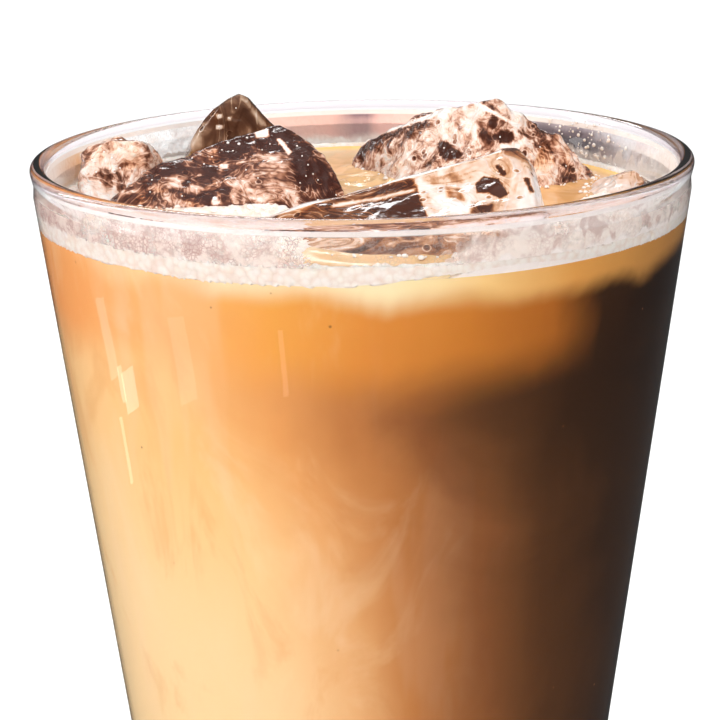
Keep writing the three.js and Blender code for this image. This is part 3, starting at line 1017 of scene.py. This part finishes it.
foam_tree = BVHTree.FromObject(foam, bpy.context.evaluated_depsgraph_get())
resting = []
while len(resting) < foam_bubble_count:
    around = dice.uniform(0, 2 * math.pi)
    out = inner_radius(drink_level) - mostly_small(*foam_bubble_from_wall)
    above = Vector((out * math.cos(around), out * math.sin(around), glass_height))
    at, normal, face, depth = foam_tree.ray_cast(above, Vector((0, 0, -1)), 0.008)
    if at is not None and normal.z > 0.4 and at.z > drink_level + 0.0004:
        resting.append((at, normal, mostly_small(*foam_bubble_radius)))
set_down(bead, "foam_bubbles", resting, bead_skin)

# Small bubbles lie in a row where the drink meets each block
resting = []
while len(resting) < waterline_bubble_count:
    at = Vector((dice.uniform(-0.04, 0.04), dice.uniform(-0.04, 0.04), drink_level + 0.0004))
    nearest = min((tree.find_nearest(at) for tree in ice_trees), key=lambda found: found[3])
    inside = (at - nearest[0]).dot(nearest[1]) < 0
    if at.xy.length < inner_radius(drink_level) - 0.001 and not inside and nearest[3] < waterline_reach:
        resting.append((at, Vector((0, 0, 1)), mostly_small(*waterline_bubble_radius)))
set_down(bead, "waterline_bubbles", resting, bead_skin)

# Drops of milk hang on the wall above the foam at the back right
resting = []
while len(resting) < drop_count:
    degrees = dice.uniform(*drop_degrees)
    around = math.radians(degrees)
    height = drink_level + mostly_small(*drop_above_drink)
    outwards = Vector((math.cos(around), math.sin(around), 0))
    crowded = math.exp(-(((degrees - crowded_degrees) / crowded_width) ** 2))
    if dice.random() < 0.35 + 0.65 * crowded:
        at = outwards * (inner_radius(height) - 0.0001) + Vector((0, 0, height))
        resting.append((at, -outwards, mostly_small(*drop_radius)))
set_down(bead, "wall_drops", resting, bead_skin)
bpy.data.objects.remove(bead)


# Floor: a plain white sheet that stays as bright far off as it is beside the glass.
# Large soft lights hang above and in front of it, with the stronger one at the left.
white, tree, shader = new_material("white_floor", {
    "Base Color": (0.97, 0.97, 0.97, 1), "Roughness": 0.9, "Emission Strength": 1,
})
far_glow = between(tree, from_axis(tree), 0.8, 2.3, 0.0, 0.6)
tree.links.new(mix(tree, far_glow, (0, 0, 0), (1, 1, 1)), shader.inputs["Emission Color"])
bpy.ops.mesh.primitive_plane_add(size=6.4, location=(0, 0, -0.0002))
floor = bpy.context.object
floor.name = "floor"
floor.data.materials.append(white)
floor.visible_glossy = False


def soft_light(name, at, towards, size, power, reflected=True):
    lamp = bpy.data.lights.new(name, "AREA")
    lamp.shape = "RECTANGLE"
    lamp.size, lamp.size_y = size
    lamp.energy = power
    holder = bpy.data.objects.new(name, lamp)
    bpy.context.scene.collection.objects.link(holder)
    holder.location = at
    holder.rotation_euler = (Vector(towards) - Vector(at)).to_track_quat("-Z", "Y").to_euler()
    holder.visible_glossy = reflected
    return holder


soft_light("ceiling_light", (0, 1.7, 3.2), (0, 1.7, 0), (8, 9), 178, reflected=False)
soft_light("back_strip", (-0.15, 0.85, 0.7), (0, 0, 0.14), (0.35, 0.08), 0.7)
soft_light("left_strip", (-0.7, 0.35, 0.5), (0, 0, 0.14), (0.08, 0.5), 1.4)
soft_light("floor_light", (0, 2.6, 1.6), (0, 2.6, 0), (4, 2), 11, reflected=False)
soft_light("fill_light", (0.42, -0.55, 0.55), (0, 0, 0.1), (0.5, 0.6), 4.4, reflected=False)
soft_light("key_light", (-0.64, -0.58, 0.32), (0, 0, 0.1), (0.5, 0.6), 7, reflected=False)
soft_light("edge_light", (-0.8, 0.1, 0.3), (0, 0, 0.1), (0.1, 0.6), 0.5)

# Small panes of light stand where the tumbler's wall mirrors them in these pixels
glass_tree = BVHTree.FromObject(tumbler, bpy.context.evaluated_depsgraph_get())
pane_distance = 0.12
window_panes = (
    (131, 390, 0.016, 0.0085, 0.0009), (120, 384, 0.006, 0.0075, 0.0003), (127, 450, 0.004, 0.014, 0.0003),
    (178, 340, 0.016, 0.025, 0.0011), (281, 340, 0.004, 0.022, 0.0004), (104, 325, 0.012, 0.022, 0.0008),
)
for number, (x, y, pane_width, pane_height, power) in enumerate(window_panes):
    at, normal = seen_at(x, y, (glass_tree,))
    stands_at = at + photo_ray(x, y).reflect(normal) * pane_distance
    pane = soft_light(f"window_pane_{number}", stands_at, at, (pane_width, pane_height), power)
    pane.visible_camera = False

world = bpy.data.worlds.new("studio")
scene.world = world
world.use_nodes = True
tree = world.node_tree
towards = node(tree, "SeparateXYZ", {0: node(tree, "TexCoord").outputs["Generated"]})
sky = ramp(tree, math_node(tree, "MULTIPLY_ADD", towards.outputs["Z"], 0.5, 0.5),
           (0.5, 0.06), (0.62, 0.1), (0.9, 0.22), (0.97, 0.8))
backdrop = node(tree, "LightPath").outputs["Is Camera Ray"]
tree.links.new(mix(tree, backdrop, sky, (1, 1, 1)), tree.nodes["Background"].inputs["Color"])
scene.view_settings.view_transform = "Standard"
